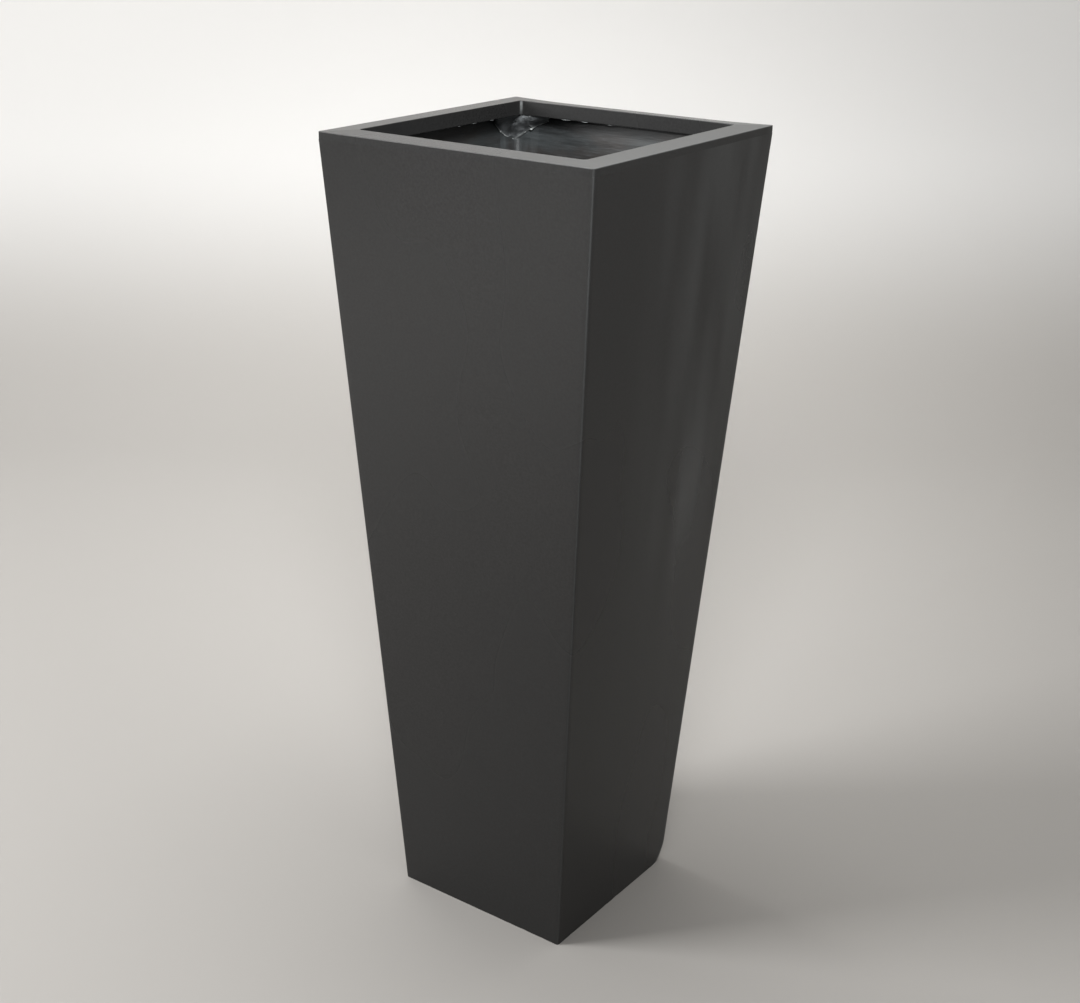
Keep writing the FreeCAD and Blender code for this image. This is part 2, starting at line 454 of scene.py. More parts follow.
# a slow wave, the roller's bands and their ridges: waves per metre on the level and upward, seed, share
RELIEF_WAVES = ((9, 7, 0, 0.5), (10, 70, 5, 0.35), (26, 95, 40, 0.3))


def relief(point):
    """How far the raw laminate stands off the inside wall at a place."""
    height = 0.5
    for level, upward, seed, share in RELIEF_WAVES:
        place = Vector((point.x * level, point.y * level, point.z * upward + seed))
        height += 0.5 * share * noise.noise(place)
    return sizes().laminate_relief * min(1.0, max(0.0, height))


def inward(point, half):
    """The level direction from a wall towards the middle, turned smoothly round the corners."""
    core = half - sizes().inner_radius
    across = max(0.0, abs(point.x) - core)
    along = max(0.0, abs(point.y) - core)
    if across == 0 and along == 0:
        return Vector((0, 0, 0))
    return -Vector((math.copysign(across, point.x), math.copysign(along, point.y), 0)).normalized()


PAINTED_EDGE_HIGHLIGHT = 0.14               # share of paler paint along the outer upright edges: a painted highlight
PAINTED_EDGE_HIGHLIGHT_WIDTH = 1.2 * MM


def painted_edge_highlight(point, half):
    """How much painted highlight lies along an outer upright edge of a square with a half width."""
    near = min(abs(point.x), abs(point.y))
    return PAINTED_EDGE_HIGHLIGHT * math.exp(-((half - near) / PAINTED_EDGE_HIGHLIGHT_WIDTH) ** 2)


# ---------------------------------------------------------------- the pieces
class PLANTER_OT_walls(bpy.types.Operator):
    """Make the tapered shell: painted outside, raw laminate inside and a hand trimmed foot"""
    bl_idname = "planter.walls"
    bl_label = "Walls"

    SIDE_CUTS = 52
    SEEN_DEPTH = 180 * MM
    SEEN_ROWS = 60
    DEEP_ROWS = 60
    OUTER_ROWS = 40
    WORN_ROWS = 6
    WAVE_END = 60 * MM
    # share of paler paint in the painted reflection streaks on the right face
    PAINTED_REFLECTION_STREAK = 0.055
    NICKS_PER_METRE = 90
    FEWER_NICKS = 0.12

    def outer_radii(self, z):
        """The outer corner radii at a height: the back right corner is worn round at the floor."""
        size = sizes()
        plain = size.edge_radius_foot + (size.edge_radius_top - size.edge_radius_foot) * z / WALL_TOP
        fade = max(0.0, 1 - z / size.worn_corner_height)
        worn = plain + (size.worn_corner_radius - plain) * fade ** 2
        return (worn, plain, plain, plain)

    def smooth_noise(self, point, across, up, seed):
        """Noise between -1 and 1 that changes over one length across the face and another up it."""
        place = Vector((point.x / across, point.y / across, point.z / up + seed))
        return noise.noise(place, noise_basis="PERLIN_NEW")

    def wave(self, point):
        """How far the sanded outside dips at a point: not at all where it meets the rim and the floor."""
        slow = self.smooth_noise(point, 120 * MM, 300 * MM, 0)
        ends = min(1.0, (WALL_TOP - point.z) / self.WAVE_END, point.z / self.WAVE_END)
        return sizes().sanding_wave * ends * (0.5 + 0.4 * slow)

    def painted_edge_highlight_and_streaks(self, point):
        """How much paler the paint is made: a painted highlight along the outer upright edges, and painted
        reflection streaks on the right face, stronger towards its back and its top.
        """
        streak_noise = self.smooth_noise(point, 34 * MM, 230 * MM, 3)
        streak_noise += 0.4 * self.smooth_noise(point, 19 * MM, 150 * MM, 9)
        right = min(1.0, max(0.0, (point.x - abs(point.y)) / (10 * MM)))
        backward = min(1.0, max(0.0, 0.45 + point.y / outer_half(point.z)))
        upward = min(1.0, max(0.15, (point.z - 0.25) / 0.3))
        # the streaks are a painted reflection, kept to the right face and stronger towards its back and top
        rubbed_gloss_and_painted_streaks = self.PAINTED_REFLECTION_STREAK * right * backward * upward
        return painted_edge_highlight(point, outer_half(point.z)) + rubbed_gloss_and_painted_streaks * max(0.0, 0.6 + streak_noise)

    def execute(self, context):
        size = sizes()
        bm = bmesh.new()
        worn = [size.worn_corner_height * i / self.WORN_ROWS for i in range(self.WORN_ROWS + 1)]
        sections = [(outer_half(z), z, self.outer_radii(z), 1, 0) for z in worn[:-1]]
        sections.append((outer_half(worn[-1]), worn[-1], self.outer_radii(worn[-1]), self.OUTER_ROWS, 0))
        sections.append((outer_half(WALL_TOP), WALL_TOP, self.outer_radii(WALL_TOP), 1, 1))
        seen = WALL_TOP - self.SEEN_DEPTH
        sections.append((inner_half(WALL_TOP), WALL_TOP, size.inner_radius, self.SEEN_ROWS, 1))
        sections.append((inner_half(seen), seen, size.inner_radius, self.DEEP_ROWS, 1))
        sections.append((inner_half(0), 0, size.inner_radius, 1, 2))
        closed_ring(bm, sections, cuts=self.SIDE_CUTS)
        painted_light_and_scuff = bm.verts.layers.float.new("painted_light_and_scuff")
        painted = {v for f in bm.faces for v in f.verts if f.material_index == 0}
        for vert in painted:
            # paler paint at the outer upright edges is a painted highlight, and the streaks on the right face
            # are a painted reflection
            vert[painted_light_and_scuff] = self.painted_edge_highlight_and_streaks(vert.co)
            vert.co += inward(vert.co, outer_half(vert.co.z)) * self.wave(vert.co)
        raw = {v for f in bm.faces for v in f.verts if f.material_index == 1}
        for vert in raw:
            if vert.co.z < WALL_TOP - MM:
                vert.co += inward(vert.co, inner_half(vert.co.z)) * relief(vert.co)
        for vert in bm.verts:
            if vert.co.z < SAME:
                place = Vector((vert.co.x * self.NICKS_PER_METRE, vert.co.y * self.NICKS_PER_METRE, 3))
                vert.co.z += size.foot_chips * max(0.0, noise.noise(place) - self.FEWER_NICKS)
        materials = [satin_paint(), raw_laminate(), bonding_paste()]
        finish_piece(bm, "shell_walls", materials, nodes=("wall_shell",))
        return {"FINISHED"}


class PLANTER_OT_rim(bpy.types.Operator):
    """Make the flat rim with its outside band, its return lip and the tongue bonded inside the walls"""
    bl_idname = "planter.rim"
    bl_label = "Rim"

    ARC_STEPS = 4
    SIDE_CUTS = 24
    HOLD = 0.3 * MM
    LIP_ROWS = (0.95, 0.8, 0.6, 0.4, 0.2)
    LIP_ROUND = 1.0 * MM
    LEAST_CORNER = 1.2 * MM
    TOP_DEPTH = 0.8 * MM
    # paler paint on the flange's top, most at the right, is a painted reflection; at the lip's inside corners
    # it is worn paint and a painted highlight
    PAINTED_TOP_REFLECTION = 0.11
    LIP_SCUFF_AND_HIGHLIGHT = 1.5
    LIP_SCUFF_AND_HIGHLIGHT_WIDTH = 1.1 * MM

    def arc(self, half, z, first, last):
        """A quarter turn of an eased edge as (half width, height) pairs, between two angles in degrees.

        A point just before and just after it keeps the flats on either side flat under smooth shading.
        """
        radius = sizes().rim_edge_radius
        steps = [math.radians(first + (last - first) * i / self.ARC_STEPS) for i in range(self.ARC_STEPS + 1)]
        points = [(half + radius * math.cos(a), z + radius * math.sin(a)) for a in steps]
        before = (steps[0] - math.pi / 2, points[0])
        after = (steps[-1] + math.pi / 2, points[-1])
        ends = [(x + self.HOLD * math.cos(a), y + self.HOLD * math.sin(a)) for a, (x, y) in (before, after)]
        return ends[:1] + points + ends[1:]

    def profile(self):
        """The rim's section from the foot of the band, over the flange, round the lip and down the tongue."""
        size = sizes()
        roll = size.rim_edge_radius
        lip_low = HEIGHT - size.lip_depth
        lip_back = MOUTH_HALF + size.lip_thickness
        lip_round = self.LIP_ROUND
        eased = 0.3 * lip_round
        under = HEIGHT - size.rim_thickness
        tongue = size.lip_thickness
        tongue_foot = inner_half(TONGUE_BOTTOM)
        points = [(RIM_HALF, WALL_TOP), (RIM_HALF, WALL_TOP + self.HOLD)]
        points += self.arc(RIM_HALF - roll, HEIGHT - roll, 0, 90)
        points += self.arc(MOUTH_HALF + roll, HEIGHT - roll, 90, 180)
        lip_foot = lip_low + lip_round + self.HOLD
        points += [(MOUTH_HALF, lip_foot + (points[-1][1] - lip_foot) * share) for share in self.LIP_ROWS]
        points += [(MOUTH_HALF, lip_foot), (MOUTH_HALF, lip_low + lip_round)]
        points += [(MOUTH_HALF + eased, lip_low + eased), (MOUTH_HALF + lip_round, lip_low)]
        points += [(lip_back - lip_round, lip_low), (lip_back - eased, lip_low + eased)]
        points += [(lip_back, lip_low + lip_round), (lip_back, under), (inner_half(under) - tongue, under)]
        points += [(tongue_foot - tongue, TONGUE_BOTTOM), (tongue_foot, TONGUE_BOTTOM)]
        return points + [(inner_half(WALL_TOP), WALL_TOP)]

    def painted_light_and_scuff_at(self, point):
        """How much paler the paint is made: a painted reflection on the flange's top, most at the right; a
        painted highlight along the outer upright edges; and at the lip's inside corners worn paint that also
        stands for a painted highlight.
        """
        near, far = sorted((abs(point.x), abs(point.y)))
        if point.z > HEIGHT - self.TOP_DEPTH:
            return self.PAINTED_TOP_REFLECTION * (0.5 + 0.5 * point.x / RIM_HALF) ** 2
        if far > RIM_HALF - MM:
            return painted_edge_highlight(point, RIM_HALF)
        if far > MOUTH_HALF + 0.1 * MM:
            return 0.0
        spots = 0.85 + 0.7 * noise.noise(point * 260)
        on_lip = min(1.0, max(0.0, (point.z - HEIGHT + sizes().lip_depth) / sizes().lip_depth))
        corner = self.LIP_SCUFF_AND_HIGHLIGHT * math.exp(-((far - near) / self.LIP_SCUFF_AND_HIGHLIGHT_WIDTH) ** 2)
        return min(1.0, max(0.0, corner * on_lip * spots))

    def corner_radius(self, half):
        """The corner rounding that suits a loop at a distance from the middle."""
        size = sizes()
        lip_back = MOUTH_HALF + size.lip_thickness
        if half <= lip_back + SAME:
            return size.mouth_corner_radius + half - MOUTH_HALF
        if half < inner_half(WALL_TOP) - 0.5 * size.lip_thickness:
            return size.inner_radius - size.lip_thickness
        return max(self.LEAST_CORNER, size.edge_radius_top + half - RIM_HALF + size.rim_edge_radius)

    def execute(self, context):
        size = sizes()
        bm = bmesh.new()
        sections = [(half, z, self.corner_radius(half), 1, 0) for half, z in self.profile()]
        closed_ring(bm, sections, cuts=self.SIDE_CUTS)
        flange = RIM_HALF - MOUTH_HALF
        painted_light_and_scuff = bm.verts.layers.float.new("painted_light_and_scuff")
        for vert in bm.verts:
            # paler paint on the flange's top is a painted reflection, at the outer upright edges a painted
            # highlight, and at the lip's corners worn paint with a painted highlight
            vert[painted_light_and_scuff] = self.painted_light_and_scuff_at(vert.co)
            if vert.co.z < WALL_TOP + SAME:
                continue
            off = max(abs(vert.co.x), abs(vert.co.y)) - MOUTH_HALF
            backness = max(0.0, vert.co.y - abs(vert.co.x)) / (0.35 * RIM_HALF)
            fall = size.rim_fall + (size.rim_fall_back - size.rim_fall) * min(1.0, backness)
            share = (vert.co.z - WALL_TOP) / (HEIGHT - WALL_TOP)
            vert.co.z -= fall * share * max(0.0, off) / flange
        finish_piece(bm, "rim_moulding", [satin_paint()], nodes=("rim_frame",))
        return {"FINISHED"}


class PLANTER_OT_webs(bpy.types.Operator):
    """Make the four lumpy corner webs that close the channel behind the lip"""
    bl_idname = "planter.webs"
    bl_label = "Corner webs"

    ACROSS = 56
    ALONG = 130
    INTO_WALL = 1.0 * MM
    BELOW_LIP = 0.4 * MM
    APEX_SAG = 2.5 * MM
    CREASE_SWING = 7 * MM
    BEAD_AT, BEAD_WIDTH = 0.90, 0.045
    # where and how wide the pale line along the web's lower edge runs: pale resin and a painted highlight
    PALE_AT, PALE_WIDTH = 0.905, 0.03
    # how far each crease swings off the mitre, and how the lower edge of the two arms bows up or down
    CREASE_SHIFT = {"back_right": 0.3, "back_left": -1.0, "front_left": 0.6, "front_right": -0.5}
    EDGE_BOW = {"back_right": (1, -2), "back_left": (-5, 2), "front_left": (-2, -3), "front_right": (2, 1)}
    # beads and pits of the back left web: shares from lip to wall and of an arm, radius and height in mm; the
    # material darkens the pits as painted shade
    DABS = ((0.93, -0.72, 2.4, 1.8), (0.90, -0.45, 2.0, 0.8), (0.97, 0.00, 1.6, 0.8), (0.90, 0.33, 2.0, 1.0),
            (0.88, 0.53, 2.6, 2.4), (0.76, 0.56, 1.8, 1.2), (0.60, 0.77, 1.3, -3.4), (0.57, 0.90, 1.2, -3.0),
            (0.52, 1.00, 1.5, 2.6), (0.45, 0.10, 1.5, -2.6), (0.20, 0.62, 5.0, -2.4), (0.80, 0.04, 4.2, -2.8),
            (0.74, 0.24, 3.6, -2.2), (0.03, 0.33, 1.6, 1.6), (0.30, -0.60, 4.0, -1.2))
    # a ridge of resin from the lip's corner to the larger bead, and a ring: place, radius and width in mm
    RIDGE = ((0.03, 0.05), (0.22, 0.32), (0.60, 0.50), (0.86, 0.53))
    RING = (0.28, 0.00, 2.7, 0.9)

    def surface(self, across, along, shift, bows):
        """A point of the web's underside: across from the lip (0) to the wall (1), along from the crease."""
        size = sizes()
        lip_z = HEIGHT - size.lip_depth + self.BELOW_LIP
        start = MOUTH_HALF + 0.6 * size.lip_thickness
        edge_z = HEIGHT - size.web_edge_drop
        outside = inner_half(edge_z) + self.INTO_WALL
        inset = (1 - math.sqrt(0.5)) * size.inner_radius
        apex_z = WEB_LOW - self.APEX_SAG
        apex_xy = inner_half(apex_z) + self.INTO_WALL - inset
        apex = Vector((apex_xy, apex_xy, apex_z))
        lip_corner = Vector((start, start, lip_z))
        bend = 4 * across * (1 - across) * shift * self.CREASE_SWING
        crease = lip_corner.lerp(apex, across) + Vector((bend, -bend, 0))
        lip_end = Vector((start, MOUTH_HALF - size.web_on_lip, lip_z))
        wall_end = Vector((outside, outside - size.web_on_wall, edge_z))
        if along < 0:
            lip_end = Vector((lip_end.y, lip_end.x, lip_end.z))
            wall_end = Vector((wall_end.y, wall_end.x, wall_end.z))
        arm = abs(along)
        bow = bows[0] if along < 0 else bows[1]
        point = crease.lerp(lip_end.lerp(wall_end, across), arm)
        point.z += across * 4 * arm * (1 - arm) * bow * MM
        return point

    def keep_in(self, point):
        """Move a point back to the inside of the walls, just within the laminate."""
        radius = sizes().inner_radius
        core = inner_half(point.z) + self.INTO_WALL - radius
        over = Vector((max(0.0, point.x - core), max(0.0, point.y - core), 0))
        if over.length > radius:
            point -= over * (1 - radius / over.length)

    def swell(self, across, along, point, seed):
        """How far, in mm, the hand-laid surface stands out of the ruled one: a bead by the wall and lumps."""
        place = Vector((point.x, point.y, point.z + seed))
        coarse = noise.noise(place * 80)
        fine = noise.noise(place * 230)
        bead = math.exp(-((across - self.BEAD_AT) / self.BEAD_WIDTH) ** 2)
        bead *= 0.8 + 0.7 * noise.noise(place * 110)
        hollow = math.exp(-((across - 0.62) / 0.2) ** 2 - (along / 0.3) ** 2)
        inner = min(1.0, (1 - across) / 0.2)
        return inner * (0.5 * coarse + 0.35 * fine) + bead - 1.2 * hollow

    def pale_edge_and_highlight(self, across, point, seed):
        """How pale the broken line of resin along the web's lower edge is made: pale resin there, and a
        painted highlight on the bead.
        """
        broken = 0.75 + 0.9 * noise.noise(Vector((point.x, point.y, point.z + seed)) * 140)
        return max(0.0, broken) * math.exp(-((across - self.PALE_AT) / self.PALE_WIDTH) ** 2)

    def marks(self, frame_of):
        """The listed marks of the back left web as points with a radius and a height."""
        dabs = [(frame_of(a, l), radius, height) for a, l, radius, height in self.DABS]
        ridge = [frame_of(a, l) for a, l in self.RIDGE]
        ring = (frame_of(*self.RING[:2]), self.RING[2], self.RING[3])
        return dabs, ridge, ring

    def mark_height(self, point, marks):
        """How far, in mm, the marks raise or sink a point."""
        dabs, ridge, (ring_at, ring_radius, ring_width) = marks
        height = sum(h * math.exp(-((point - at).length / (r * MM)) ** 2) for at, r, h in dabs)
        for start, end in zip(ridge, ridge[1:]):
            near, share = geometry.intersect_point_line(point, start, end)
            near = start.lerp(end, min(1.0, max(0.0, share)))
            height = max(height, 0.6 * math.exp(-((point - near).length / (1.1 * MM)) ** 2))
        off_ring = ((point - ring_at).length / MM - ring_radius) / ring_width
        return height - 1.3 * math.exp(-off_ring ** 2)

    def execute(self, context):
        under = HEIGHT - sizes().rim_thickness
        material = web_resin()
        outward = Vector((-0.5, -0.5, -math.sqrt(0.5)))
        for number, (corner, turn) in enumerate(CORNERS.items()):
            bm = bmesh.new()
            build_up_and_painted_light_layer = bm.verts.layers.float.new("build_up_and_painted_light")
            made = bmesh.ops.create_grid(bm, x_segments=self.ACROSS, y_segments=self.ALONG, size=1.0)
            shift, bows = self.CREASE_SHIFT[corner], self.EDGE_BOW[corner]
            marks = self.marks(lambda a, l: self.surface(a, l, shift, bows))
            for vert in made["verts"]:
                across, along = 0.5 + 0.5 * vert.co.x, vert.co.y
                point = self.surface(across, along, shift, bows)
                height = self.swell(across, along, point, 0.31 * number)
                if corner == "back_left":
                    height += self.mark_height(point, marks)
                # the layer carries the build-up and painted light: sunk places are darkened as painted shade,
                # and beads and the lower edge are paled as pale resin and painted highlight
                vert[build_up_and_painted_light_layer] = 0.5 + height / 6 + 0.42 * self.pale_edge_and_highlight(across, point, 0.31 * number)
                point += outward * height * MM * min(1.0, across / 0.1)
                self.keep_in(point)
                vert.co = point
            roof = bmesh.ops.extrude_face_region(bm, geom=bm.faces[:])
            for vert in roof["geom"]:
                if isinstance(vert, bmesh.types.BMVert):
                    vert.co.z = under - 0.1 * MM
            bmesh.ops.rotate(bm, verts=bm.verts, cent=(0, 0, 0), matrix=spin_of(turn))
            finish_piece(bm, "web_" + corner, [material], nodes=("corner_web_" + corner,))
        return {"FINISHED"}


class PLANTER_OT_smears(bpy.types.Operator):
    """Make the dribbles of resin that cling to the lower edge of the lip"""
    bl_idname = "planter.smears"
    bl_label = "Resin dribbles"

    # each dribble: the lip's turn from the back side, place along it, length, width and depth in mm
    DRIBBLES = ((0, -86, 13, 1.8, 0.9), (0, -58, 9, 1.5, 0.8), (0, -20, 5, 1.4, 0.7),
                (90, 96, 7, 1.8, 1.1), (90, 60, 9, 1.5, 0.8), (90, 30, 4, 1.4, 0.8),
                (180, 70, 6, 1.9, 1.0), (180, -50, 10, 1.8, 0.9),
                (270, 20, 6, 1.6, 0.9), (270, -90, 9, 1.8, 1.0))
    PALENESS = 0.66

    def execute(self, context):
        size = sizes()
        bm = bmesh.new()
        build_up_and_painted_light_layer = bm.verts.layers.float.new("build_up_and_painted_light")
        middle = Vector((0, MOUTH_HALF + 0.35 * size.lip_thickness, HEIGHT - size.lip_depth - 0.2 * MM))
        for number, (turn, place, long, wide, deep) in enumerate(self.DRIBBLES):
            made = bmesh.ops.create_icosphere(bm, subdivisions=4, radius=0.5)
            spin = spin_of(turn)
            for vert in made["verts"]:
                lump = 1 + 0.45 * noise.noise(vert.co * 5 + Vector((number * 3.1, 0, 0)))
                shape = Vector((vert.co.x * long, vert.co.y * wide, vert.co.z * deep)) * lump * MM
                vert.co = spin @ (middle + Vector((place * MM, 0, 0)) + shape)
                vert[build_up_and_painted_light_layer] = self.PALENESS
        finish_piece(bm, "resin_dribbles", [web_resin()])
        return {"FINISHED"}


class PLANTER_OT_tapes(bpy.types.Operator):
    """Make the four strips of woven glass tape down the inside corners, with frayed edges"""
    bl_idname = "planter.tapes"
    bl_label = "Corner tapes"

    ACROSS = 34
    ALONG = 260
    TUCK = 0.3 * MM
    UNDER_WEB = 2 * MM

    def run_of(self, across, share, seed):
        """How far along the wall from the corner's middle a point of the tape lies; the edges are frayed."""
        size = sizes()
        rough = 3.0 * noise.noise(Vector((seed, share * 40, across)))
        rough += 1.5 * noise.noise(Vector((seed, share * 170, across)))
        bow = size.inner_radius * math.pi / 2
        return across * (size.tape_leg + rough * MM - size.inner_radius + bow / 2)

    def top_at(self, run):
        """The height at which the corner web covers the tape."""
        size = sizes()
        rise = (HEIGHT - size.web_edge_drop - WEB_LOW) / size.web_on_wall
        return WEB_LOW + self.UNDER_WEB + rise * abs(run)

    def place(self, run, z):
        """A point on the wall under the tape and the level direction away from it."""
        size = sizes()
        half = inner_half(z)
        radius = size.inner_radius
        bow = radius * math.pi / 2
        if abs(run) <= bow / 2:
            angle = math.pi / 4 + run / radius
            away = Vector((math.cos(angle), math.sin(angle), 0))
            return Vector((half - radius, half - radius, z)) + away * radius, -away
        straight = abs(run) - bow / 2
        if run < 0:
            return Vector((half, half - radius - straight, z)), Vector((-1, 0, 0))
        return Vector((half - radius - straight, half, z)), Vector((0, -1, 0))

    def spot(self, across, share, seed):
        """The place on the wall and the level direction away from it for a point of the tape's grid."""
        run = self.run_of(across, share, seed)
        return self.place(run, BASE_TOP + (self.top_at(run) - BASE_TOP) * share)

    def execute(self, context):
        size = sizes()
        material = glass_tape()
        for number, (corner, turn) in enumerate(CORNERS.items()):
            bm = bmesh.new()
            made = bmesh.ops.create_grid(bm, x_segments=self.ACROSS, y_segments=self.ALONG, size=1.0)
            spin = spin_of(turn)
            grid = [(v, v.co.x, 0.5 + 0.5 * v.co.y) for v in made["verts"]]
            copy = bmesh.ops.extrude_face_region(bm, geom=bm.faces[:])
            for vert in copy["geom"]:
                if isinstance(vert, bmesh.types.BMVert):
                    under, away = self.spot(vert.co.x, 0.5 + 0.5 * vert.co.y, number)
                    vert.co = spin @ (under - away * self.TUCK)
            for vert, across, share in grid:
                under, away = self.spot(across, share, number)
                turned = spin @ under
                edge = min(1.0, (1 - abs(across)) * 2.5)
                off = relief(turned) + size.tape_thickness * edge - self.TUCK * (1 - edge)
                vert.co = turned + (spin @ away) * off
            finish_piece(bm, "tape_" + corner, [material], nodes=("corner_tape_" + corner,))
        return {"FINISHED"}


class PLANTER_OT_base(bpy.types.Operator):
    """Finish the base and make the coved bead of bonding paste round it"""
    bl_idname = "planter.base"
    bl_label = "Base"

    COVE_STEPS = 7
    SINK = 0.2 * MM
    DRAG_MARKS = 0.7 * MM

    def execute(self, context):
        size = sizes()
        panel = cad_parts["base_panel"]
        panel.data.materials.clear()
        panel.data.materials.append(raw_laminate())
        bm = bmesh.new()
        cove = BOND_TOP - BASE_TOP
        foot = inner_half(BASE_TOP)
        radius = size.inner_radius
        sections = [(foot + self.SINK, BASE_TOP, radius, 1, 0)]
        for step in range(self.COVE_STEPS + 1):
            angle = math.radians(90 * step / self.COVE_STEPS)
            half = foot - cove * (1 - math.sin(angle))
            z = BASE_TOP + cove * (1 - math.cos(angle))
            sections.append((half + LEAN * (z - BASE_TOP), z, radius, 1, 0))
        sections.append((inner_half(BOND_TOP) + self.SINK, BOND_TOP, radius, 1, 0))
        closed_ring(bm, sections, cuts=60)
        for vert in bm.verts:
            if vert.co.z > BASE_TOP + 0.5 * MM:
                drag = noise.noise(Vector((vert.co.x * 60, vert.co.y * 60, vert.co.z * 200)))
                vert.co += inward(vert.co, inner_half(vert.co.z)) * (0.6 + drag) * self.DRAG_MARKS
        finish_piece(bm, "paste_bead", [bonding_paste()], nodes=("base_bond",))
        return {"FINISHED"}


class PLANTER_OT_plug(bpy.types.Operator):
    """Make the rubber drain plug with its rounded head and finger grip"""
    bl_idname = "planter.plug"
    bl_label = "Drain plug"

    TURN_STEPS = 64
    HEAD_THICKNESS = 3 * MM
    EASED_EDGE = 0.9 * MM
    GRIP_WIDTH = 15 * MM
    GRIP_THICKNESS = 3 * MM
    GRIP_CORNER = 4.5 * MM

    def execute(self, context):
        bm = bmesh.new()
        head = PLUG_HIGH.x
        shank = reach_at("drain_plug", PLUG_LOW.z - MM, PLUG_LOW.z + MM)[1]
        head_top = BASE_TOP + self.HEAD_THICKNESS
        outline = [(0, PLUG_LOW.z), (shank, PLUG_LOW.z), (shank, BASE_TOP),
                   (head, BASE_TOP), (head, head_top), (0, head_top)]
        verts = [bm.verts.new((r, 0, z)) for r, z in outline]
        for pair in zip(verts, verts[1:]):
            bm.edges.new(pair)
        rounded(bm, [verts[1], verts[3], verts[4]], self.EASED_EDGE, 3)
        bmesh.ops.spin(bm, geom=bm.verts[:] + bm.edges[:], cent=(0, 0, 0), axis=(0, 0, 1), angle=2 * math.pi,
                       steps=self.TURN_STEPS, use_merge=True)
        bmesh.ops.remove_doubles(bm, verts=bm.verts, dist=0.001 * MM)
        place = Matrix.Translation((0, 0, (head_top - MM + PLUG_HIGH.z) / 2))
        stretch = Matrix.Diagonal((self.GRIP_WIDTH, self.GRIP_THICKNESS, PLUG_HIGH.z - head_top + MM, 1))
        grip = bmesh.ops.create_cube(bm, size=1.0, matrix=place @ stretch)
        tops = [v for v in grip["verts"] if v.co.z > head_top]
        corners = [e for v in tops for e in v.link_edges if abs(e.verts[0].co.y - e.verts[1].co.y) > MM]
        rounded(bm, list(set(corners)), self.GRIP_CORNER, 8, "EDGES")
        finish_piece(bm, "rubber_plug", [moulded_rubber()], body="plug", nodes=("drain_plug",))
        return {"FINISHED"}


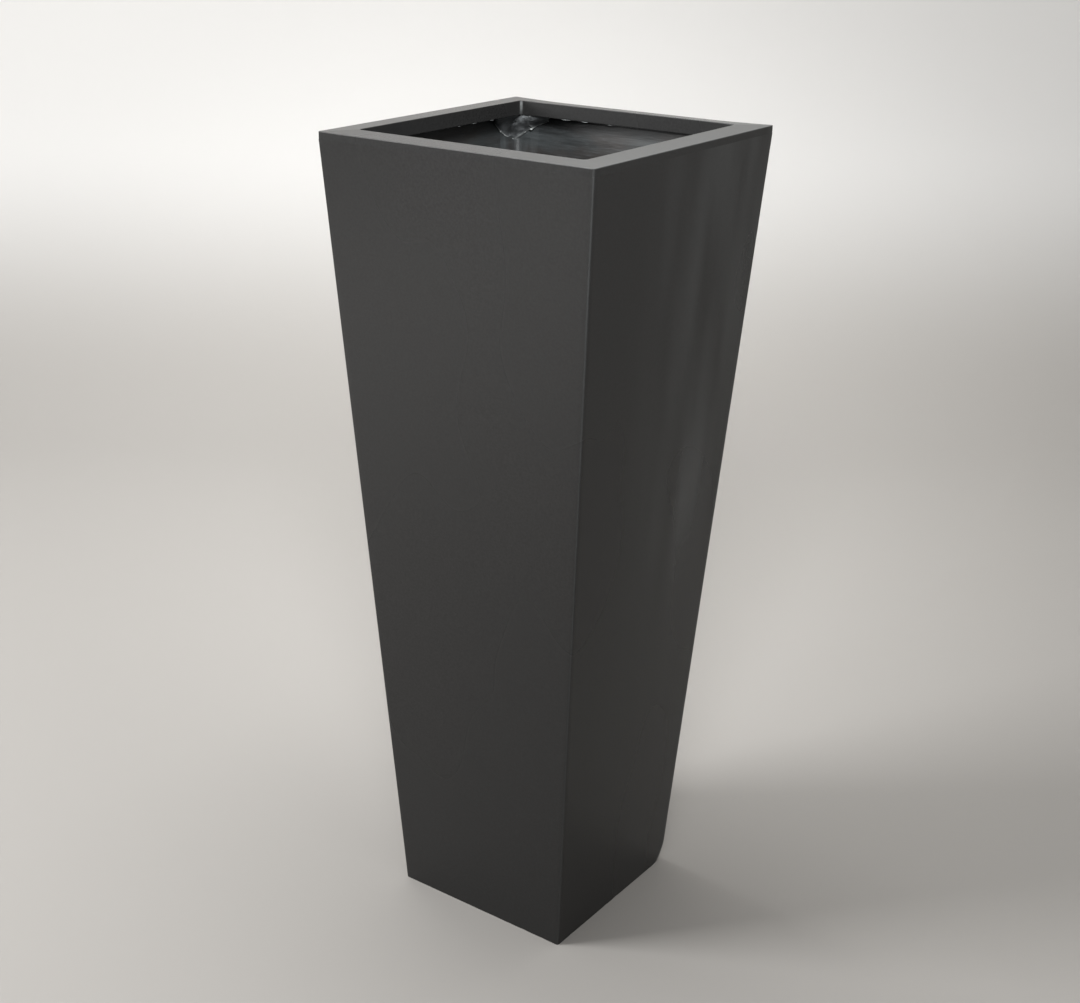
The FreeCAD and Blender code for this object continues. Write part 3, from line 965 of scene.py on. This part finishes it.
class PLANTER_OT_stage(bpy.types.Operator):
    """Make the studio: a pale sweep, soft lamps, an even sky and the camera"""
    bl_idname = "planter.stage"
    bl_label = "Stage"

    PHOTO_WIDTH = 1080
    FOCAL_PIXELS = 1650.2
    OPTICAL_CENTRE_X = 500
    CAMERA_PLACE = (1.1097, -1.5707, 1.2919)
    CAMERA_AIM = (-0.558, 0.745, -0.3655)
    CAMERA_ROLL = 0.51
    SENSOR = 36.0
    BEND_STEPS = 16
    SKY = "#f4f3f1"
    SKY_STRENGTH = 0.4
    # each lamp: name, place, what it points at, width, height, power in watts and spread in degrees
    LAMPS = (
        ("window_left", (-2.3, -2.3, 1.9), (0, 0, 0.45), 1.3, 1.3, 112, 180),
        ("fill_by_camera", (1.9, -2.2, 2.2), (0, 0, 0.9), 1.4, 1.4, 5, 180),
        ("mouth_light", (0.9, -1.35, 2.0), (-0.05, 0.09, 0.99), 0.5, 0.5, 3.8, 40),
        ("soft_top", (0.1, 0, 2.7), (0.1, 0, 0), 0.9, 0.9, 13, 180),
        ("backdrop_wash", (-1.5, 0.4, 3.1), (-1.1, 2.9, 1.5), 2.8, 1.0, 26, 180),
    )

    def lamp(self, name, place, aim, width, height, power, spread):
        """A soft rectangular lamp; a grid on it narrows its spread."""
        data = bpy.data.lights.new(name, "AREA")
        data.shape = "RECTANGLE"
        data.size, data.size_y = width, height
        data.energy = power
        data.spread = math.radians(spread)
        made = bpy.data.objects.new(name, data)
        made.location = place
        made.rotation_mode = "QUATERNION"
        made.rotation_quaternion = (Vector(aim) - Vector(place)).to_track_quat("-Z", "Y")
        bpy.context.scene.collection.objects.link(made)

    def camera(self):
        """The photograph's view."""
        data = bpy.data.cameras.new("photo_view")
        data.sensor_width = self.SENSOR
        data.lens = self.FOCAL_PIXELS * self.SENSOR / self.PHOTO_WIDTH
        data.shift_x = (self.PHOTO_WIDTH / 2 - self.OPTICAL_CENTRE_X) / self.PHOTO_WIDTH
        made = bpy.data.objects.new("photo_view", data)
        made.location = self.CAMERA_PLACE
        aim = Vector(self.CAMERA_AIM).to_track_quat("-Z", "Y").to_matrix()
        made.rotation_mode = "QUATERNION"
        made.rotation_quaternion = (aim @ spin_of(self.CAMERA_ROLL)).to_quaternion()
        bpy.context.scene.collection.objects.link(made)
        bpy.context.scene.camera = made

    def sweep(self):
        """A pale floor that curves up into a backdrop square to the camera."""
        bm = bmesh.new()
        width, near, far, top, bend = 14.0, -5.0, 2.9, 4.0, 1.2
        outline = [(near, 0.0), (far - bend, 0.0)]
        for step in range(1, self.BEND_STEPS + 1):
            angle = math.radians(90 * step / self.BEND_STEPS)
            outline.append((far - bend + bend * math.sin(angle), bend * (1 - math.cos(angle))))
        outline.append((far, top))
        verts = [bm.verts.new((-width / 2, y, z)) for y, z in outline]
        edges = [bm.edges.new(pair) for pair in zip(verts, verts[1:])]
        side = bmesh.ops.extrude_edge_only(bm, edges=edges)
        moved = [v for v in side["geom"] if isinstance(v, bmesh.types.BMVert)]
        bmesh.ops.translate(bm, verts=moved, vec=(width, 0, 0))
        heading = math.atan2(-self.CAMERA_AIM[0], self.CAMERA_AIM[1])
        bmesh.ops.rotate(bm, verts=bm.verts, cent=(0, 0, 0), matrix=Matrix.Rotation(heading, 3, "Z"))
        bmesh.ops.recalc_face_normals(bm, faces=bm.faces)
        for face in bm.faces:
            face.smooth = True
        mesh = bpy.data.meshes.new("studio_sweep")
        bm.to_mesh(mesh)
        bm.free()
        mesh.materials.append(studio_paper())
        made = bpy.data.objects.new("studio_sweep", mesh)
        bpy.context.scene.collection.objects.link(made)

    def execute(self, context):
        self.camera()
        self.sweep()
        world = bpy.data.worlds.new("even_sky")
        context.scene.world = world
        world.use_nodes = True
        sky = world.node_tree.nodes["Background"]
        sky.inputs["Color"].default_value = linear(self.SKY)
        sky.inputs["Strength"].default_value = self.SKY_STRENGTH
        for settings in self.LAMPS:
            self.lamp(*settings)
        context.scene.view_settings.view_transform = "Standard"
        return {"FINISHED"}


OPERATORS = (PLANTER_OT_stage, PLANTER_OT_walls, PLANTER_OT_rim, PLANTER_OT_webs,
             PLANTER_OT_smears, PLANTER_OT_tapes, PLANTER_OT_base, PLANTER_OT_plug)


class PLANTER_PT_panel(bpy.types.Panel):
    """The planter's pieces and stage"""
    bl_idname = "PLANTER_PT_panel"
    bl_label = "Tall planter"
    bl_space_type = "VIEW_3D"
    bl_region_type = "UI"
    bl_category = "Planter"

    def draw(self, context):
        for made in OPERATORS:
            self.layout.operator(made.bl_idname)
        for group in (context.scene.planter_sizes, context.scene.planter_colours):
            for name in group.__annotations__:
                self.layout.prop(group, name)


CLASSES = (PlanterSizes, PlanterColours) + OPERATORS + (PLANTER_PT_panel,)


def register():
    """Add the operators, the panel and the settings."""
    for made in CLASSES:
        bpy.utils.register_class(made)
    bpy.types.Scene.planter_sizes = bpy.props.PointerProperty(type=PlanterSizes)
    bpy.types.Scene.planter_colours = bpy.props.PointerProperty(type=PlanterColours)


def unregister():
    """Take them away again."""
    del bpy.types.Scene.planter_colours
    del bpy.types.Scene.planter_sizes
    for made in reversed(CLASSES):
        bpy.utils.unregister_class(made)


def main():
    """Build the stage and the pieces."""
    register()
    for made in OPERATORS:
        group, name = made.bl_idname.split(".")
        getattr(getattr(bpy.ops, group), name)()
    bpy.context.view_layer.update()


if __name__ == "__main__":
    main()
